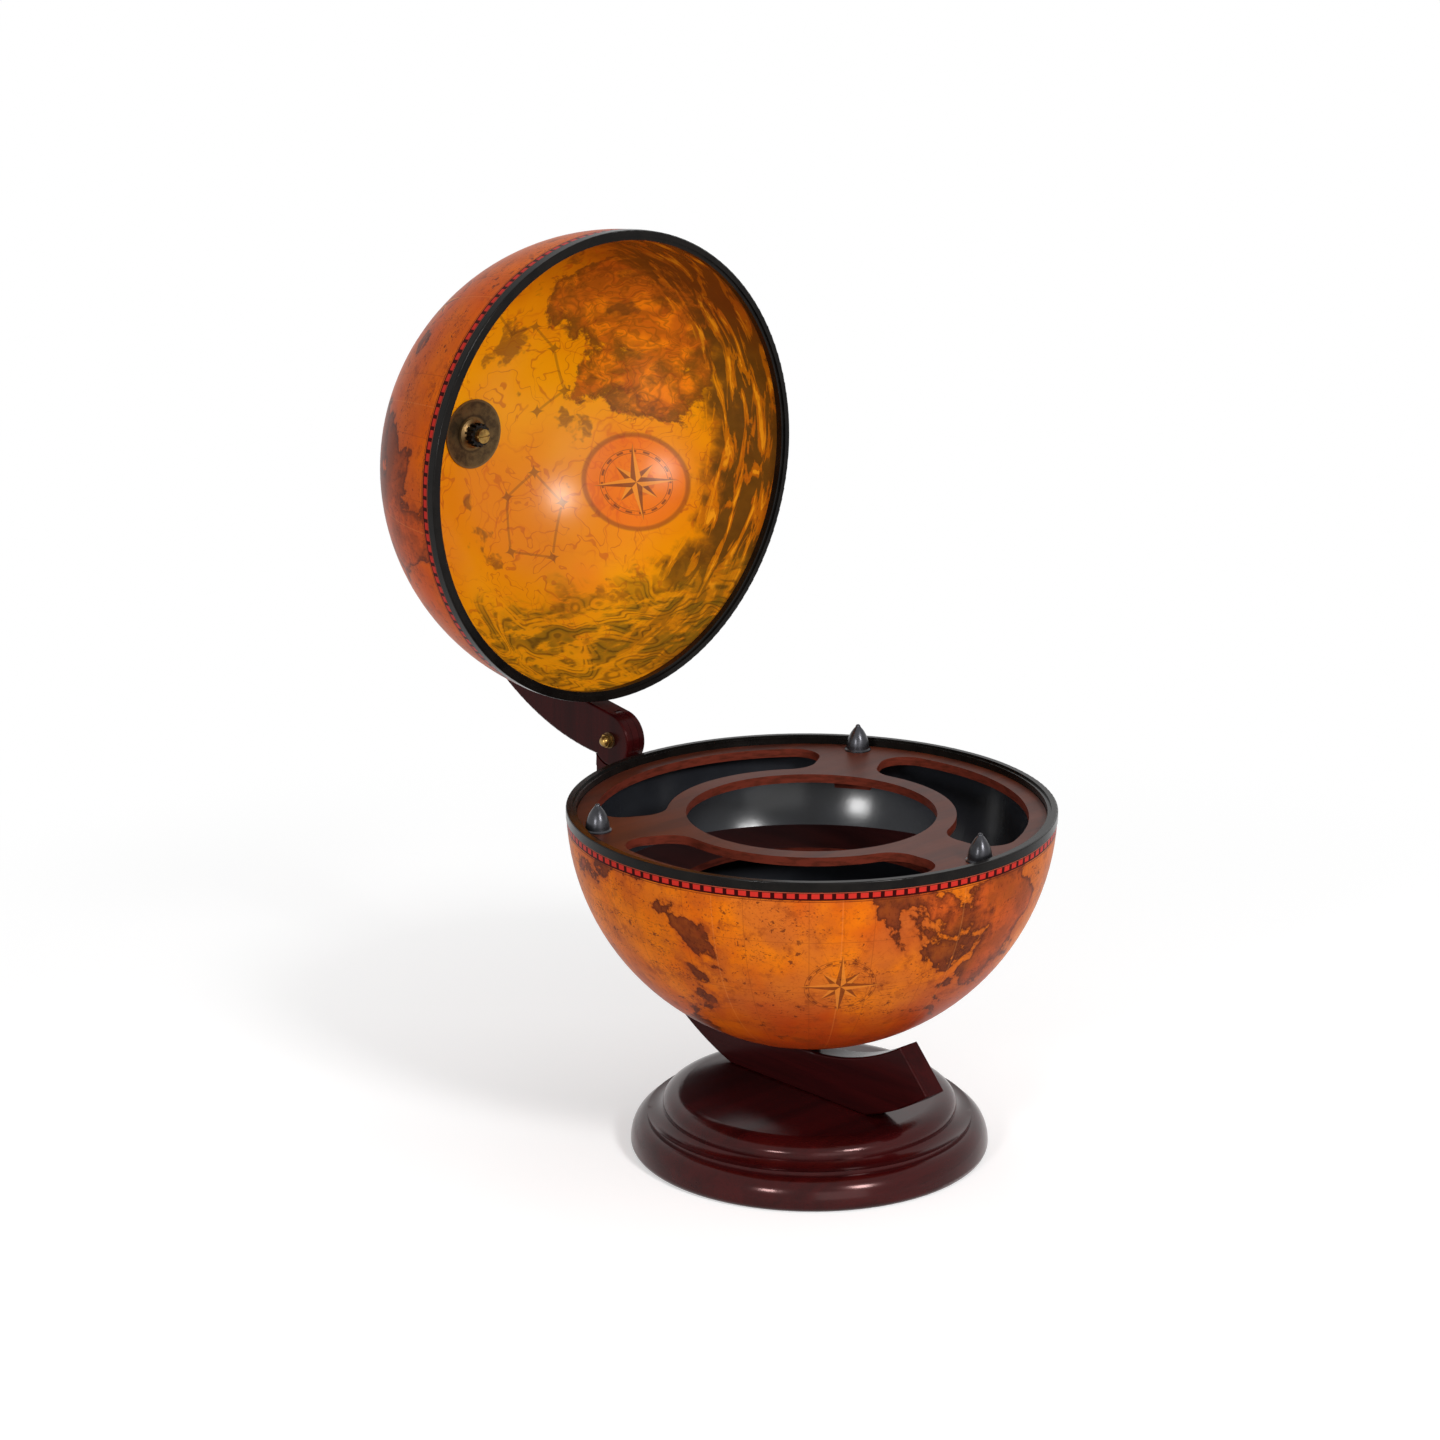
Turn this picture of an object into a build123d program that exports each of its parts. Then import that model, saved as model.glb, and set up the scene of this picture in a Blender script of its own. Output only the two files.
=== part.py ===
from build123d import *
from math import acos, atan2, cos, hypot, pi, radians, sin, sqrt
import os

# Tabletop globe bar: a hinged hollow globe carried by a C-shaped wooden arm on a turned base.
# Units are millimetres. +Z is up, the hinge is at +Y, and the origin is the centre of the base's
# underside. The lid is modelled open, resting on the hinge's stop.

# ---------------------------------------------------------------- driving dimensions
# Globe
globe_radius = 165.0  # outside of both halves
globe_wall = 4.5
equator_gap = 0.25  # each rim stays this far from the plane where the halves meet
rim_height = 6.3
rim_width = 7.0
rim_proud = 0.2  # rim stands out from the globe's surface
rim_rebate = 1.3  # step round the rim's inner top edge
rim_outer_round = 0.9

# Turned base
base_radius = 123.0
base_height = 40.0
base_underside = 0.5  # wood is held this far off the table by the felt
base_foot_inset = 2.5  # insets are measured from the base's widest edge
base_bulge_height = 4.5
lower_fillet_inset = 11.4
lower_fillet_height = 21.8
lower_fillet_rise = 2.8
upper_fillet_inset = 22.1
upper_fillet_height = 27.6
upper_fillet_rise = 3.0
base_land_inset = 36.0
felt_inset = 19.0
felt_thickness = 2.0

# Arms
arm_thickness = 17.0
arm_gap = 9.0  # clear space between the globe and the arms
arm_seat_depth = 31.0  # wood between the arm's inner edge and the base, under the globe
lower_arm_depth = 32.0
lower_arm_shift = 4.6  # outer edge is struck from a centre this far towards the hinge
lower_arm_drop = 10.0  # and this far below the globe's centre
lower_arm_tip_angle = 122.5  # inner corner of the front end, measured down from the hinge side
lower_arm_tip_slope = 132.5  # direction of the front end's cut
upper_arm_depth = 35.0
arm_edge_radius = 1.5

# Hinge
hinge_inset = 21.1  # pivot to the arms' inner edge
hinge_rise = 3.1  # pivot above the plane where the halves meet
lid_open_angle = 90.0
knuckle_radius = 19.2
knuckle_gap = 0.6
knuckle_blend_angle = 9.0  # where the knuckle's straight flank meets the inner edge
tongue_thickness = 5.6
tongue_side_gap = 0.25
tongue_tip_gap = 0.5
stop_gap = 0.3
hinge_bolt_diameter = 6.0
hinge_washer_diameter = 11.5
hinge_washer_thickness = 1.0
hinge_nut_width = 8.6  # across flats
hinge_nut_height = 3.2
hinge_dome_radius = 3.9

# Pole fittings, the same in both halves
pole_bolt_diameter = 6.0
pole_head_diameter = 10.5
pole_head_height = 4.0
pole_slot_width = 1.4
pole_slot_depth = 1.6
pole_hub_radius = 8.7
pole_hub_root_radius = 7.3
pole_hub_teeth = 13
pole_hub_tooth_share = 0.5  # tooth's share of its pitch
pole_hub_height = 6.6
pole_disc_radius = 25.2
pole_disc_thickness = 1.0
pole_boss_radius = 12.5
pole_boss_height = 2.6
pole_nut_width = 10.0
pole_nut_height = 5.0
pole_spacer_diameter = 14.0
pole_nut_recess = 0.5  # nut below the upper arm's outer edge
spacer_socket = 0.5  # depth to which a spacer is let into its arm
running_clearance = 0.05
disc_clearance = 0.2
face_clearance = 0.3

# Fittings inside the bowl
shelf_drop = 6.0  # plane where the halves meet down to the holder's top
shelf_thickness = 6.0
shelf_hole_share = 0.512  # of the globe's radius
shelf_ring_width = 13.0
shelf_edge_width = 12.0
shelf_spoke_width = 44.0
shelf_outer_corner_share = 0.38  # of the cut-outs' depth
shelf_inner_corner_share = 0.44
spoke_count = 3
first_spoke = 32.7  # degrees; the last spoke is nearly opposite the hinge
peg_inset = 9.7  # peg's axis to the holder's edge
peg_radius = 8.2
peg_flange_radius = 9.3
peg_flange_height = 1.6
peg_height = 18.7
peg_tip_radius = 1.8
peg_shoulder_radius_share = 0.74
peg_shoulder_height_share = 0.56
peg_stud_diameter = 4.0
peg_stud_length = 20.0
block_width = 26.0
block_length = 34.0
block_height = 18.0
ring_shelf_drop_share = 0.382  # of the globe's radius
ring_shelf_thickness = 5.0
ring_shelf_hole_share = 0.576
floor_drop_share = 0.727
floor_thickness = 5.0

# Fixings between the arm and the base
foot_screw_spacing = 84.0
foot_screw_diameter = 5.0
foot_screw_head_diameter = 9.5
foot_screw_head_height = 3.0
foot_screw_bite = 18.0  # length of thread in the arm
foot_screw_grip = 26.0  # wood between the screws' heads and the arm
dowel_spacing = 40.0
dowel_diameter = 8.0
dowel_length = 30.0
glue_clearance = 0.1

# ---------------------------------------------------------------- worked-out places
inner_radius = globe_radius - globe_wall
base_bottom_radius = base_radius - base_foot_inset
lower_fillet_radius = base_radius - lower_fillet_inset
upper_fillet_radius = base_radius - upper_fillet_inset
base_land_radius = base_radius - base_land_inset
felt_radius = base_radius - felt_inset
arm_inner_radius = globe_radius + arm_gap
seat_radius = arm_inner_radius + arm_seat_depth
globe_height = base_height + seat_radius
lower_arm_outer_radius = arm_inner_radius + lower_arm_depth
upper_arm_outer_radius = arm_inner_radius + upper_arm_depth
upper_arm_middle_radius = arm_inner_radius + upper_arm_depth / 2
hinge_reach = arm_inner_radius + hinge_inset
hinge_point = Vector(hinge_reach, hinge_rise)  # in each arm's own plane, from its globe half's centre
open_angle = radians(lid_open_angle)

bowl_centre = Vector(0, 0, globe_height)
hinge_centre = bowl_centre + Vector(0, hinge_reach, hinge_rise)
lid_outward = Vector(0, cos(open_angle), -sin(open_angle))
lid_upward = Vector(0, sin(open_angle), cos(open_angle))
lid_centre = hinge_centre - lid_outward * hinge_reach - lid_upward * hinge_rise

# Each half has a polar plane, whose local Y runs from the half's centre to its pole, and an arm
# plane, whose local X runs from the centre towards the hinge when the globe is shut.
bowl_polar = Plane(origin=bowl_centre, x_dir=(1, 0, 0), z_dir=(0, 1, 0))
lid_polar = Plane(origin=lid_centre, x_dir=(1, 0, 0), z_dir=lid_outward * -1)
lower_arm_plane = Plane(origin=bowl_centre, x_dir=(0, 1, 0), z_dir=(1, 0, 0))
upper_arm_plane = Plane(origin=lid_centre, x_dir=lid_outward, z_dir=(1, 0, 0))

os.makedirs("parts", exist_ok=True)


def save(part, label):
    part.label = label
    export_step(part, f"parts/{label}.step")


def pole_axis(polar):
    return Axis(polar.origin, polar.y_dir)


def pole_plane(polar, distance):
    """Plane square to the pole axis, at a distance from the half's centre, facing outwards."""
    return Plane(polar.origin + polar.y_dir * distance, x_dir=polar.x_dir, z_dir=polar.y_dir)


def across(plane, point):
    """Plane parallel to an arm plane with its origin at a local point of it."""
    return Plane(plane.from_local_coords((point.X, point.Y, 0)), x_dir=plane.x_dir, z_dir=plane.z_dir)


# ---------------------------------------------------------------- turned base
with BuildPart() as base_plinth:
    with BuildSketch(Plane.XZ):
        with BuildLine():
            Line((0, base_underside), (base_bottom_radius, base_underside))
            bulge = (base_radius, base_bulge_height)
            RadiusArc((base_bottom_radius, base_underside), bulge, -base_bulge_height)
            EllipticalCenterArc(
                (lower_fillet_radius, base_bulge_height),
                base_radius - lower_fillet_radius,
                lower_fillet_height - base_bulge_height,
                start_angle=0,
                arc_size=90,
            )
            lower_step = (lower_fillet_radius, lower_fillet_height + lower_fillet_rise)
            Line((lower_fillet_radius, lower_fillet_height), lower_step)
            upper_step = (upper_fillet_radius, upper_fillet_height)
            cove_radius = hypot(lower_step[0] - upper_step[0], lower_step[1] - upper_step[1])
            RadiusArc(lower_step, upper_step, cove_radius)
            shoulder_start = (upper_fillet_radius, upper_fillet_height + upper_fillet_rise)
            Line(upper_step, shoulder_start)
            EllipticalCenterArc(
                (base_land_radius, shoulder_start[1]),
                upper_fillet_radius - base_land_radius,
                base_height - shoulder_start[1],
                start_angle=0,
                arc_size=90,
            )
            Line((base_land_radius, base_height), (0, base_height))
            Line((0, base_height), (0, base_underside))
        make_face()
    revolve(axis=Axis.Z)
    with BuildSketch(Plane.XY):
        Circle(felt_radius + glue_clearance)
    extrude(amount=felt_thickness, mode=Mode.SUBTRACT)
    screw_shelf = base_height - foot_screw_grip
    with BuildSketch(Plane.XY):
        with GridLocations(0, foot_screw_spacing, 1, 2):
            Circle(foot_screw_head_diameter / 2 + glue_clearance)
    extrude(amount=screw_shelf, mode=Mode.SUBTRACT)
    with BuildSketch(Plane.XY):
        with GridLocations(0, foot_screw_spacing, 1, 2):
            Circle(foot_screw_diameter / 2 + glue_clearance)
    extrude(amount=base_height, mode=Mode.SUBTRACT)
    with BuildSketch(Plane.XY.offset(base_height)):
        with GridLocations(0, dowel_spacing, 1, 2):
            Circle(dowel_diameter / 2 + glue_clearance)
    extrude(amount=-dowel_length / 2 - glue_clearance, mode=Mode.SUBTRACT)
save(base_plinth.part, "base_plinth")

with BuildPart() as felt_disc:
    with BuildSketch(Plane.XY):
        Circle(felt_radius)
    extrude(amount=felt_thickness)
save(felt_disc.part, "felt_disc")

with BuildPart() as foot_screws:
    with BuildSketch(Plane.XY.offset(screw_shelf)):
        with GridLocations(0, foot_screw_spacing, 1, 2):
            Circle(foot_screw_head_diameter / 2)
    extrude(amount=-foot_screw_head_height)
    with BuildSketch(Plane.XY.offset(screw_shelf)):
        with GridLocations(0, foot_screw_spacing, 1, 2):
            Circle(foot_screw_diameter / 2)
    extrude(amount=foot_screw_grip + foot_screw_bite)
save(foot_screws.part, "foot_screws")

with BuildPart() as foot_dowels:
    with BuildSketch(Plane.XY.offset(base_height - dowel_length / 2)):
        with GridLocations(0, dowel_spacing, 1, 2):
            Circle(dowel_diameter / 2)
    extrude(amount=dowel_length)
save(foot_dowels.part, "foot_dowels")


# ---------------------------------------------------------------- arms
def pole_passage(polar, nut_floor, far_side):
    """The bolt's way, the spacer's seat and the nut's pocket, to be cut from an arm at a pole."""
    with BuildPart() as passage:
        with BuildSketch(pole_plane(polar, globe_radius)):
            Circle(pole_bolt_diameter / 2 + running_clearance)
        extrude(amount=far_side - globe_radius)
        with BuildSketch(pole_plane(polar, globe_radius)):
            Circle(pole_spacer_diameter / 2 + glue_clearance)
        extrude(amount=spacer_seat - globe_radius)
        with BuildSketch(pole_plane(polar, nut_floor)):
            RegularPolygon(pole_nut_width / 2 + glue_clearance, 6, major_radius=False)
        extrude(amount=far_side - nut_floor)
    return passage.part


spacer_seat = arm_inner_radius + spacer_socket
lower_nut_floor = seat_radius - pole_nut_height - glue_clearance
upper_nut_floor = upper_arm_outer_radius - pole_nut_height - pole_nut_recess
slot_half = tongue_thickness / 2 + tongue_side_gap
reach = 2 * lower_arm_outer_radius
lower_passage = pole_passage(bowl_polar, lower_nut_floor, seat_radius)
upper_passage = pole_passage(lid_polar, upper_nut_floor, upper_arm_outer_radius + arm_gap)

with BuildPart() as lower_arm:
    with BuildSketch(lower_arm_plane):
        with Locations((lower_arm_shift, -lower_arm_drop)):
            Circle(lower_arm_outer_radius)
        Circle(arm_inner_radius, mode=Mode.SUBTRACT)
        tip_angle = radians(-lower_arm_tip_angle)
        tip_slope = radians(-lower_arm_tip_slope)
        tip = Vector(arm_inner_radius * cos(tip_angle), arm_inner_radius * sin(tip_angle))
        tip_far = tip + Vector(cos(tip_slope), sin(tip_slope)) * reach
        band_ends = [(0, 0), tip, tip_far, (0, -2 * reach), (reach, -reach), (reach, 0)]
        Polygon(*band_ends, align=None, mode=Mode.INTERSECT)
        with Locations((0, -seat_radius)):
            Rectangle(reach, reach, align=(Align.CENTER, Align.MAX), mode=Mode.SUBTRACT)
    extrude(amount=arm_thickness / 2, both=True)
    fillet(lower_arm.faces().filter_by(Axis.X).edges(), radius=arm_edge_radius)
    # The stop: the top of the arm is hollowed to the upper arm's outer edge as it lies open.
    with BuildSketch(upper_arm_plane):
        Circle(upper_arm_outer_radius + stop_gap)
    extrude(amount=arm_thickness, both=True, mode=Mode.SUBTRACT)
    # The knuckles of the upper arm turn in round hollows on both cheeks.
    for side in (1, -1):
        with BuildSketch(across(lower_arm_plane, hinge_point).offset(side * tongue_thickness / 2)):
            Circle(knuckle_radius + knuckle_gap)
        extrude(amount=side * arm_thickness, mode=Mode.SUBTRACT)
    with BuildSketch(across(lower_arm_plane, hinge_point)):
        Circle(knuckle_radius)
    extrude(amount=tongue_thickness / 2, both=True)
    with BuildSketch(across(lower_arm_plane, hinge_point)):
        Circle(hinge_bolt_diameter / 2 + running_clearance)
    extrude(amount=arm_thickness, both=True, mode=Mode.SUBTRACT)
    add(lower_passage, mode=Mode.SUBTRACT)
    with BuildSketch(Plane.XY.offset(base_height)):
        with GridLocations(0, dowel_spacing, 1, 2):
            Circle(dowel_diameter / 2 + glue_clearance)
    extrude(amount=dowel_length / 2 + glue_clearance, mode=Mode.SUBTRACT)
    with BuildSketch(Plane.XY.offset(base_height)):
        with GridLocations(0, foot_screw_spacing, 1, 2):
            Circle(foot_screw_diameter / 2 + glue_clearance)
    extrude(amount=foot_screw_bite + glue_clearance, mode=Mode.SUBTRACT)
save(lower_arm.part, "lower_arm")

with BuildPart() as upper_arm:
    blend = radians(knuckle_blend_angle)
    flank_top = Vector(arm_inner_radius * cos(blend), arm_inner_radius * sin(blend))
    flank = flank_top - hinge_point
    flank_turn = atan2(flank.Y, flank.X) + acos(knuckle_radius / flank.length)
    flank_foot = hinge_point + Vector(cos(flank_turn), sin(flank_turn)) * knuckle_radius
    with BuildSketch(upper_arm_plane):
        Circle(upper_arm_outer_radius)
        Circle(arm_inner_radius, mode=Mode.SUBTRACT)
        Rectangle(reach, reach, align=(Align.MIN, Align.MIN), mode=Mode.INTERSECT)
        flank_outside = [(globe_radius, flank_top.Y), (globe_radius, -reach), (hinge_point.X, -reach)]
        Polygon(flank_top, *flank_outside, hinge_point, flank_foot, align=None, mode=Mode.SUBTRACT)
        Polygon(flank_top, flank_foot, hinge_point, align=None)
        with Locations(hinge_point):
            Circle(knuckle_radius)
        with Locations((0, upper_arm_middle_radius)):
            Circle(upper_arm_depth / 2)
    extrude(amount=arm_thickness / 2, both=True)
    fillet(upper_arm.faces().filter_by(Axis.X).edges(), radius=arm_edge_radius)
    with BuildSketch(across(upper_arm_plane, hinge_point)):
        Circle(knuckle_radius + tongue_tip_gap)
    extrude(amount=slot_half, both=True, mode=Mode.SUBTRACT)
    with BuildSketch(across(upper_arm_plane, hinge_point)):
        Circle(hinge_bolt_diameter / 2 + running_clearance)
    extrude(amount=arm_thickness, both=True, mode=Mode.SUBTRACT)
    add(upper_passage, mode=Mode.SUBTRACT)
save(upper_arm.part, "upper_arm")

# ---------------------------------------------------------------- hinge bolt, washers and nuts
hinge_plane = across(lower_arm_plane, hinge_point)
cheek = arm_thickness / 2
nut_seat = cheek + hinge_washer_thickness

with BuildPart() as hinge_bolt:
    with BuildSketch(hinge_plane):
        Circle(hinge_bolt_diameter / 2)
    extrude(amount=nut_seat, both=True)
    with BuildSketch(hinge_plane.offset(nut_seat)):
        RegularPolygon(hinge_nut_width / 2, 6, major_radius=False)
    extrude(amount=hinge_nut_height)
save(hinge_bolt.part, "hinge_bolt")

with BuildPart() as hinge_washers:
    for side in (1, -1):
        with BuildSketch(hinge_plane.offset(side * cheek)):
            Circle(hinge_washer_diameter / 2)
            Circle(hinge_bolt_diameter / 2 + running_clearance, mode=Mode.SUBTRACT)
        extrude(amount=side * hinge_washer_thickness)
save(hinge_washers.part, "hinge_washers")

with BuildPart() as hinge_cap_nut:
    with BuildSketch(hinge_plane.offset(-nut_seat)):
        RegularPolygon(hinge_nut_width / 2, 6, major_radius=False)
    extrude(amount=-hinge_nut_height)
    with BuildSketch(Plane(hinge_centre, x_dir=(-1, 0, 0), z_dir=(0, 0, 1))):
        with Locations((nut_seat + hinge_nut_height, 0)):
            Circle(hinge_dome_radius)
        Rectangle(reach, reach, align=(Align.MIN, Align.MIN), mode=Mode.INTERSECT)
        with Locations((nut_seat + hinge_nut_height, 0)):
            Rectangle(reach, reach, align=(Align.MIN, Align.MIN), mode=Mode.INTERSECT)
    revolve(axis=Axis(hinge_centre, (1, 0, 0)))
save(hinge_cap_nut.part, "hinge_cap_nut")


# ---------------------------------------------------------------- globe halves and their rims
rim_top = equator_gap
rim_base = equator_gap + rim_height
rim_inner_radius = globe_radius + rim_proud - rim_width


def globe_half(polar):
    """Thin hemisphere from its rim's seat to its pole, drilled for the pole bolt."""
    with BuildPart() as shell:
        with BuildSketch(polar):
            Circle(globe_radius)
            Circle(inner_radius, mode=Mode.SUBTRACT)
            with Locations((0, rim_base)):
                Rectangle(reach, reach, align=(Align.MIN, Align.MIN), mode=Mode.INTERSECT)
        revolve(axis=pole_axis(polar))
        with BuildSketch(pole_plane(polar, 0)):
            Circle(pole_bolt_diameter / 2 + running_clearance)
        extrude(amount=globe_radius + arm_gap, mode=Mode.SUBTRACT)
    return shell.part


def globe_rim(polar):
    """Moulding that caps the edge of a half, with a rebate round its inner top edge."""
    with BuildPart() as rim:
        with BuildSketch(polar):
            with Locations((rim_inner_radius, rim_top)):
                Rectangle(rim_width, rim_height, align=(Align.MIN, Align.MIN))
                Rectangle(2 * rim_rebate, rim_rebate, align=(Align.MIN, Align.MIN), mode=Mode.SUBTRACT)
        revolve(axis=pole_axis(polar))
        outer_corner = rim.edges().sort_by(SortBy.LENGTH)[-2:].sort_by_distance(polar.origin)[0]
        fillet(outer_corner, radius=rim_outer_round)
    return rim.part


save(globe_half(bowl_polar), "bowl_shell")
save(globe_half(lid_polar), "lid_shell")
save(globe_rim(bowl_polar), "bowl_rim")
save(globe_rim(lid_polar), "lid_rim")

# ---------------------------------------------------------------- pole fittings
disc_seat_radius = inner_radius - disc_clearance
boss_top = disc_seat_radius - pole_boss_height - pole_disc_thickness
hub_base = boss_top - face_clearance
head_base = hub_base - pole_hub_height - running_clearance


def pole_disc(polar):
    """Dished brass disc lying on the inside of a half, with a low raised boss."""
    with BuildPart() as disc:
        with BuildSketch(polar):
            Circle(disc_seat_radius)
            Circle(disc_seat_radius - pole_disc_thickness, mode=Mode.SUBTRACT)
            boss_floor = disc_seat_radius - 2 * pole_disc_thickness
            with BuildLine():
                boss_root = (0, boss_floor + pole_disc_thickness)
                boss_edge = (pole_boss_radius / 2, boss_top)
                Polyline(boss_root, (0, boss_top), boss_edge)
                boss_foot = sqrt((disc_seat_radius - pole_disc_thickness / 2) ** 2 - pole_boss_radius**2)
                RadiusArc(boss_edge, (pole_boss_radius, boss_foot), pole_boss_radius)
                Line((pole_boss_radius, boss_foot), boss_root)
            make_face()
            Rectangle(pole_disc_radius, reach, align=(Align.MIN, Align.MIN), mode=Mode.INTERSECT)
        revolve(axis=pole_axis(polar))
        with BuildSketch(pole_plane(polar, 0)):
            Circle(pole_bolt_diameter / 2 + running_clearance)
        extrude(amount=globe_radius, mode=Mode.SUBTRACT)
    return disc.part


def pole_hub(polar):
    """Star-toothed locking hub on the pole bolt."""
    with BuildPart() as hub:
        with BuildSketch(pole_plane(polar, hub_base)):
            Circle(pole_hub_root_radius)
            tooth_length = pole_hub_radius - pole_hub_root_radius
            tooth_width = pole_hub_tooth_share * 2 * pi * pole_hub_root_radius / pole_hub_teeth
            with PolarLocations(pole_hub_root_radius - tooth_length, pole_hub_teeth):
                Rectangle(2 * tooth_length, tooth_width, align=(Align.MIN, Align.CENTER))
            Circle(pole_bolt_diameter / 2 + running_clearance, mode=Mode.SUBTRACT)
        extrude(amount=-pole_hub_height)
    return hub.part


def pole_bolt(polar, nut_floor):
    """Slotted cheese-head bolt from inside a half, through the arm, to its nut."""
    with BuildPart() as bolt:
        with BuildSketch(pole_plane(polar, head_base)):
            Circle(pole_head_diameter / 2)
        extrude(amount=-pole_head_height)
        with BuildSketch(pole_plane(polar, head_base - pole_head_height)):
            Rectangle(pole_head_diameter, pole_slot_width)
        extrude(amount=pole_slot_depth, mode=Mode.SUBTRACT)
        with BuildSketch(pole_plane(polar, head_base)):
            Circle(pole_bolt_diameter / 2)
        extrude(amount=nut_floor + pole_nut_height - head_base)
    return bolt.part


def pole_nut(polar, nut_floor):
    with BuildPart() as nut:
        with BuildSketch(pole_plane(polar, nut_floor)):
            RegularPolygon(pole_nut_width / 2, 6, major_radius=False)
            Circle(pole_bolt_diameter / 2 + running_clearance, mode=Mode.SUBTRACT)
        extrude(amount=pole_nut_height)
    return nut.part


def pole_spacer(polar):
    """Turned bush between a half and its arm, hollowed to the globe's curve."""
    with BuildPart() as spacer:
        with BuildSketch(polar):
            with Locations((0, spacer_seat)):
                Rectangle(pole_spacer_diameter / 2, 2 * arm_gap, align=(Align.MIN, Align.MAX))
            Circle(globe_radius + face_clearance, mode=Mode.SUBTRACT)
            with Locations((0, spacer_seat)):
                bore = pole_bolt_diameter / 2 + running_clearance
                Rectangle(bore, 2 * arm_gap, align=(Align.MIN, Align.MAX), mode=Mode.SUBTRACT)
        revolve(axis=pole_axis(polar))
    return spacer.part


for half, polar, nut_floor in (("bowl", bowl_polar, lower_nut_floor), ("lid", lid_polar, upper_nut_floor)):
    save(pole_disc(polar), f"{half}_pole_disc")
    save(pole_hub(polar), f"{half}_pole_hub")
    save(pole_bolt(polar, nut_floor), f"{half}_pole_bolt")
    save(pole_nut(polar, nut_floor), f"{half}_pole_nut")
    save(pole_spacer(polar), f"{half}_spacer")

# ---------------------------------------------------------------- fittings inside the bowl
shelf_top = globe_height - shelf_drop
shelf_bottom = shelf_top - shelf_thickness
shelf_radius = rim_inner_radius - face_clearance
shelf_hole_radius = shelf_hole_share * globe_radius
cutout_inner_radius = shelf_hole_radius + shelf_ring_width
cutout_outer_radius = shelf_radius - shelf_edge_width
cutout_depth = cutout_outer_radius - cutout_inner_radius
peg_circle_radius = shelf_radius - peg_inset

with BuildPart() as top_shelf:
    with BuildSketch(Plane.XY.offset(shelf_bottom)):
        Circle(shelf_radius)
        Circle(shelf_hole_radius, mode=Mode.SUBTRACT)
    extrude(amount=shelf_thickness)
    with BuildSketch(Plane.XY.offset(shelf_bottom)) as cutouts:
        Circle(cutout_outer_radius)
        Circle(cutout_inner_radius, mode=Mode.SUBTRACT)
        with PolarLocations(0, spoke_count, start_angle=first_spoke):
            Rectangle(globe_radius, shelf_spoke_width, align=(Align.MIN, Align.CENTER), mode=Mode.SUBTRACT)
        corners = cutouts.vertices().sort_by_distance((0, 0, shelf_bottom))
        fillet(corners[: 2 * spoke_count], radius=shelf_inner_corner_share * cutout_depth)
        corners = cutouts.vertices().sort_by_distance((0, 0, shelf_bottom))
        fillet(corners[-2 * spoke_count :], radius=shelf_outer_corner_share * cutout_depth)
    extrude(amount=shelf_thickness, mode=Mode.SUBTRACT)
    with BuildSketch(Plane.XY.offset(shelf_bottom)):
        with PolarLocations(peg_circle_radius, spoke_count, start_angle=first_spoke):
            Circle(peg_stud_diameter / 2 + glue_clearance)
    extrude(amount=shelf_thickness, mode=Mode.SUBTRACT)
save(top_shelf.part, "top_shelf")

with BuildPart() as shelf_blocks:
    with BuildSketch(Plane.XY.offset(shelf_bottom - block_height)):
        with PolarLocations(globe_radius - block_length, spoke_count, start_angle=first_spoke):
            Rectangle(block_length, block_width, align=(Align.MIN, Align.CENTER))
    extrude(amount=block_height)
    with Locations(bowl_centre):
        Sphere(inner_radius - face_clearance, mode=Mode.INTERSECT)
    with BuildSketch(Plane.XY.offset(shelf_bottom)):
        with PolarLocations(peg_circle_radius, spoke_count, start_angle=first_spoke):
            Circle(peg_stud_diameter / 2 + glue_clearance)
    extrude(amount=shelf_thickness - peg_stud_length - glue_clearance, mode=Mode.SUBTRACT)
save(shelf_blocks.part, "shelf_blocks")

with BuildPart() as peg:
    with BuildSketch(Plane.XZ):
        with BuildLine():
            flange_foot = (peg_flange_radius, 0)
            flange_top = (peg_flange_radius, peg_flange_height / 2)
            body_foot = (peg_radius, peg_flange_height)
            shoulder = (peg_shoulder_radius_share * peg_radius, peg_shoulder_height_share * peg_height)
            nose = (peg_tip_radius, peg_height - peg_tip_radius)
            Polyline((0, peg_height), (0, -peg_stud_length), (peg_stud_diameter / 2, -peg_stud_length))
            Polyline((peg_stud_diameter / 2, -peg_stud_length), (peg_stud_diameter / 2, 0), flange_foot)
            Polyline(flange_foot, flange_top, body_foot)
            ThreePointArc(body_foot, shoulder, nose)
            CenterArc((0, nose[1]), peg_tip_radius, 0, 90)
        make_face()
    revolve(axis=Axis.Z)

with BuildPart() as shelf_pegs:
    with Locations((0, 0, shelf_top)):
        with PolarLocations(peg_circle_radius, spoke_count, start_angle=first_spoke):
            add(peg.part)
save(shelf_pegs.part, "shelf_pegs")


def wedged_board(drop, thickness, hole_radius):
    """Flat board whose edge is bevelled to the bowl's inside, so that it rests on the wall."""
    with BuildPart() as board:
        with BuildSketch(Plane.XY.offset(globe_height - drop - thickness)):
            Circle(inner_radius)
            if hole_radius:
                Circle(hole_radius, mode=Mode.SUBTRACT)
        extrude(amount=thickness)
        with Locations(bowl_centre):
            Sphere(inner_radius - face_clearance, mode=Mode.INTERSECT)
    return board.part


ring_shelf_drop = ring_shelf_drop_share * globe_radius
ring_shelf_hole_radius = ring_shelf_hole_share * globe_radius
save(wedged_board(ring_shelf_drop, ring_shelf_thickness, ring_shelf_hole_radius), "ring_shelf")
save(wedged_board(floor_drop_share * globe_radius, floor_thickness, 0), "bowl_floor")
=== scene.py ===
"""Looks of the tabletop globe bar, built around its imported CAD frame. Metres, +Z up."""
import math

import bpy
from mathutils import Matrix, Vector

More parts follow.
